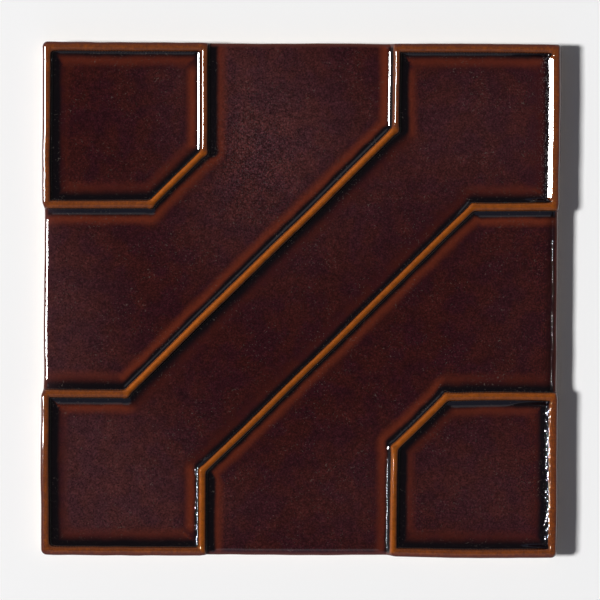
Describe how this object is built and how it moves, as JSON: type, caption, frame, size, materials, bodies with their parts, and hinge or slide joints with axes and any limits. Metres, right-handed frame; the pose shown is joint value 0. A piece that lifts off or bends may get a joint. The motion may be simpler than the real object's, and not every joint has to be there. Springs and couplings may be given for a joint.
{
  "type": "ceramic wall tile",
  "caption": "Square relief wall tile in glazed ceramic, with slim raised lines that outline cut-corner cells, a diagonal band and open lanes running off its edges.",
  "frame": {"origin": "centre of the back face, on the plane the tile beds on", "axes": "+Z out of the decorated face, +Y towards the edge shown at the top of the picture, +X towards the right edge"},
  "size_m": [0.15, 0.15, 0.01],
  "materials": {
    "glaze": "glossy oxblood glaze that thins to amber brown on the raised lines"
  },
  "bodies": {
    "root": {"relief_tile": "glaze"}
  },
  "joints": []
}
